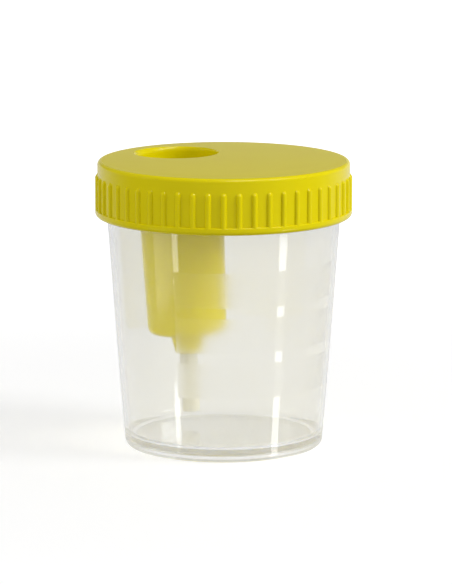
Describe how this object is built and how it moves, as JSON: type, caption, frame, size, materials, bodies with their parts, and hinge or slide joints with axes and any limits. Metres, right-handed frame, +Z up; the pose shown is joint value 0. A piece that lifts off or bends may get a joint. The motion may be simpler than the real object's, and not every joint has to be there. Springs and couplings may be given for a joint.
{
  "type": "specimen container",
  "caption": "Translucent tapered specimen cup with a ribbed yellow screw lid that has a leaning tube well, a covered needle and an aspiration tube inside.",
  "frame": {"origin": "centre of the foot ring, on the surface that the cup stands on", "axes": "+Z up along the cup's axis; -Y is the front, where the frosted writing panels start; the tube well lies towards -X and +Y"},
  "size_m": [0.066, 0.066, 0.0743],
  "materials": {
    "cup_polypropylene": "gloss",
    "lid_polyethylene": "satin",
    "needle_steel": "polished",
    "sleeve_rubber": "matte",
    "tube_polypropylene": "gloss"
  },
  "bodies": {
    "container": {"cup": "cup_polypropylene"},
    "lid": {"screw_lid": "lid_polyethylene", "needle": "needle_steel", "rubber_sleeve": "sleeve_rubber", "aspiration_tube": "tube_polypropylene"}
  },
  "joints": [
    {"name": "lid_lift", "type": "slide", "parent": "container", "child": "lid", "axis": [0, 0, 1], "range_m": [0, 0.08]}
  ]
}
